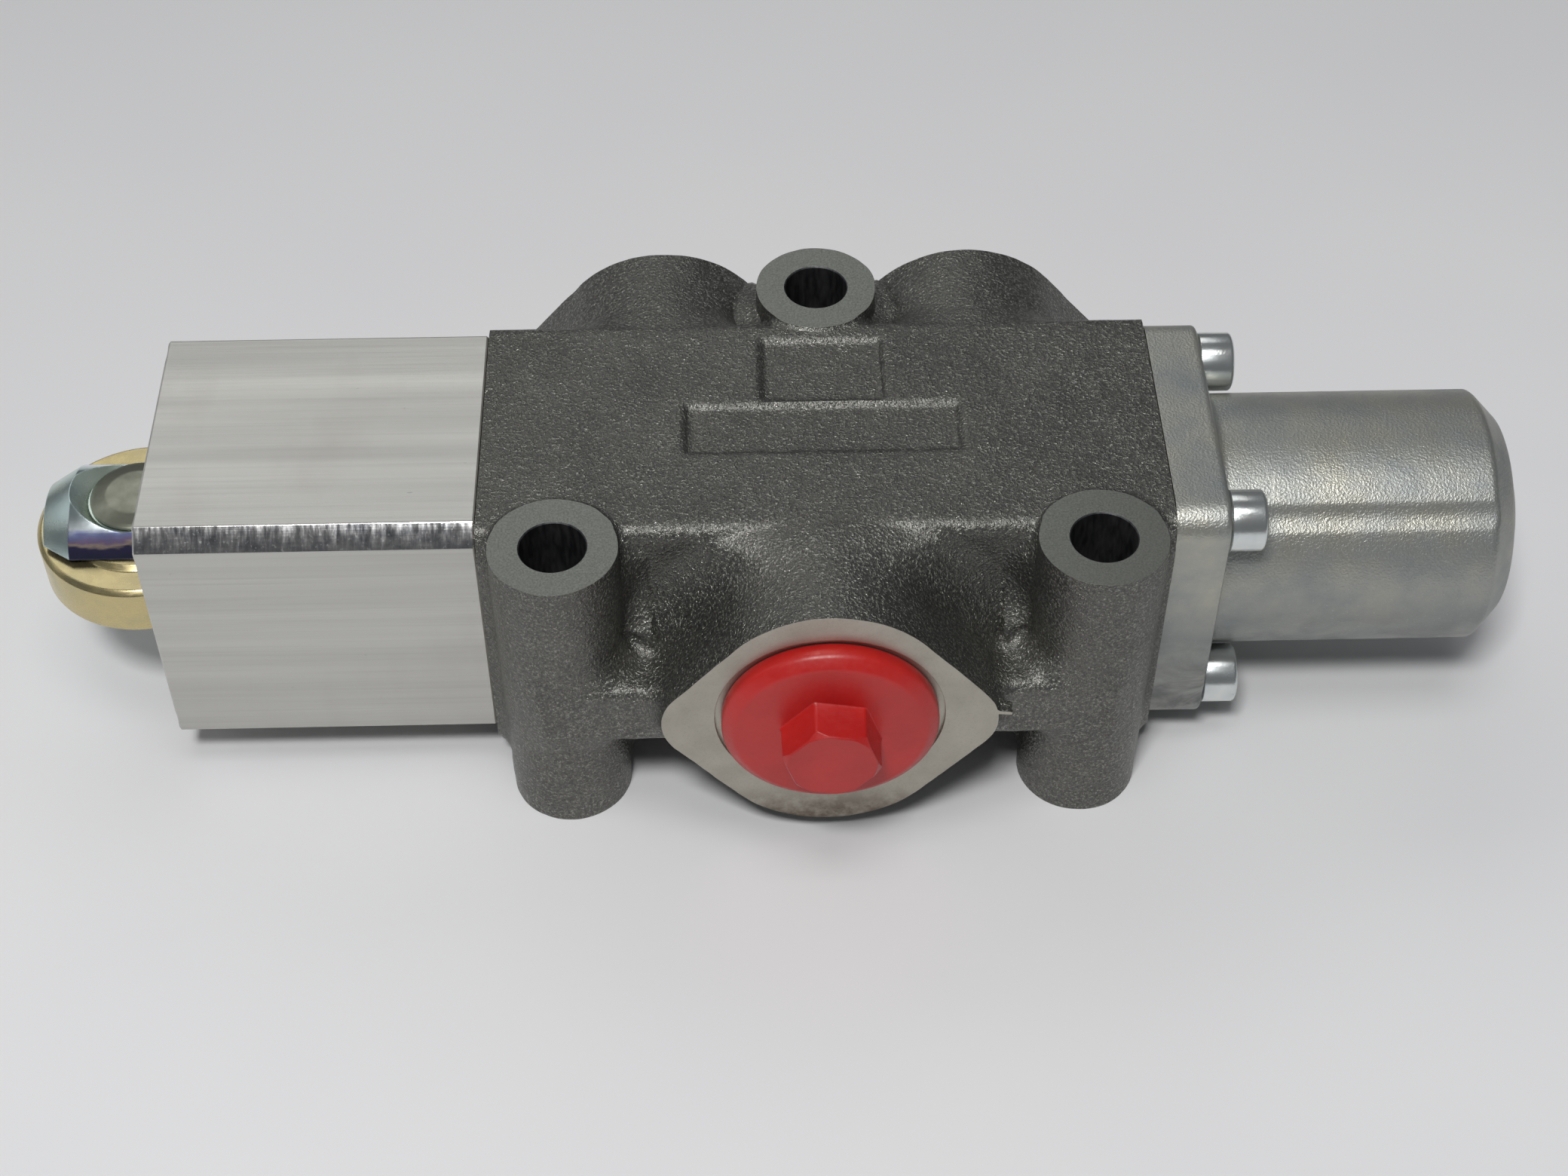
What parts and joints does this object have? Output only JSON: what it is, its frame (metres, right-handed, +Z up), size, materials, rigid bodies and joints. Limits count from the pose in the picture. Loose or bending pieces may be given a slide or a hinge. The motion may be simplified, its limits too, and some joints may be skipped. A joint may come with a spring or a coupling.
{
  "type": "roller operated hydraulic directional valve",
  "caption": "Hydraulic spool valve worked by a spring-returned roller plunger: cast body with three feet and screwed ports, square actuator block and round spring cap.",
  "frame": {"origin": "middle of the envelope in X and Y, at the height of the three feet", "axes": "+X along the spool from the roller to the spring cap, +Y from the single port to the pair of ports, +Z up from the feet"},
  "size_m": [0.2114, 0.0896, 0.0482],
  "materials": {
    "cast_iron": "sand-cast grain, machined on the boss tops and port faces",
    "block_aluminium": "extruded and sawn, bare, satin",
    "cap_die_cast": "pressure die cast, bare, fine grain",
    "fork_zinc": "blue passivated zinc, satin",
    "roller_gold_zinc": "yellow passivated zinc, satin",
    "bush_bronze": "turned",
    "spring_steel": "oiled, dark",
    "ground_steel": "ground and polished",
    "washer_steel": "turned",
    "screw_zinc": "bright zinc",
    "seal_rubber": "moulded, matt",
    "plug_red": "moulded polyethylene, semi-gloss"
  },
  "bodies": {
    "housing": {"valve_body": "cast_iron", "actuator_block": "block_aluminium", "spring_cap": "cap_die_cast", "spool_seal_left": "seal_rubber", "spool_seal_right": "seal_rubber", "seal_retainer_left": "washer_steel", "seal_retainer_right": "washer_steel", "fork_wiper": "seal_rubber", "return_spring": "spring_steel", "spring_seat_outer": "washer_steel", "port_plug_front": "plug_red", "port_plug_rear_left": "plug_red", "port_plug_rear_right": "plug_red", "block_screw_1": "screw_zinc", "cap_screw_1": "screw_zinc", "block_screw_2": "screw_zinc", "cap_screw_2": "screw_zinc", "block_screw_3": "screw_zinc", "cap_screw_3": "screw_zinc", "block_screw_4": "screw_zinc", "cap_screw_4": "screw_zinc"},
    "spool_set": {"spool": "ground_steel", "roller_fork": "fork_zinc", "roller_pin": "fork_zinc", "roller_pin_clip": "spring_steel", "spool_link_pin": "ground_steel", "spring_seat_inner": "washer_steel", "spool_end_bolt": "screw_zinc"},
    "roller": {"roller": "roller_gold_zinc", "roller_bush": "bush_bronze"}
  },
  "joints": [
    {"name": "spool_slide", "type": "slide", "parent": "housing", "child": "spool_set", "axis": [1, 0, 0], "range_m": [0, 0.0075], "stiffness_N_per_m": 5800, "springref_m": -0.01, "deforming": ["return_spring"]},
    {"name": "roller_spin", "type": "hinge", "parent": "spool_set", "child": "roller", "pos_m": [-0.0907, 0, 0.0266], "axis": [0, 0, 1], "continuous": true}
  ]
}
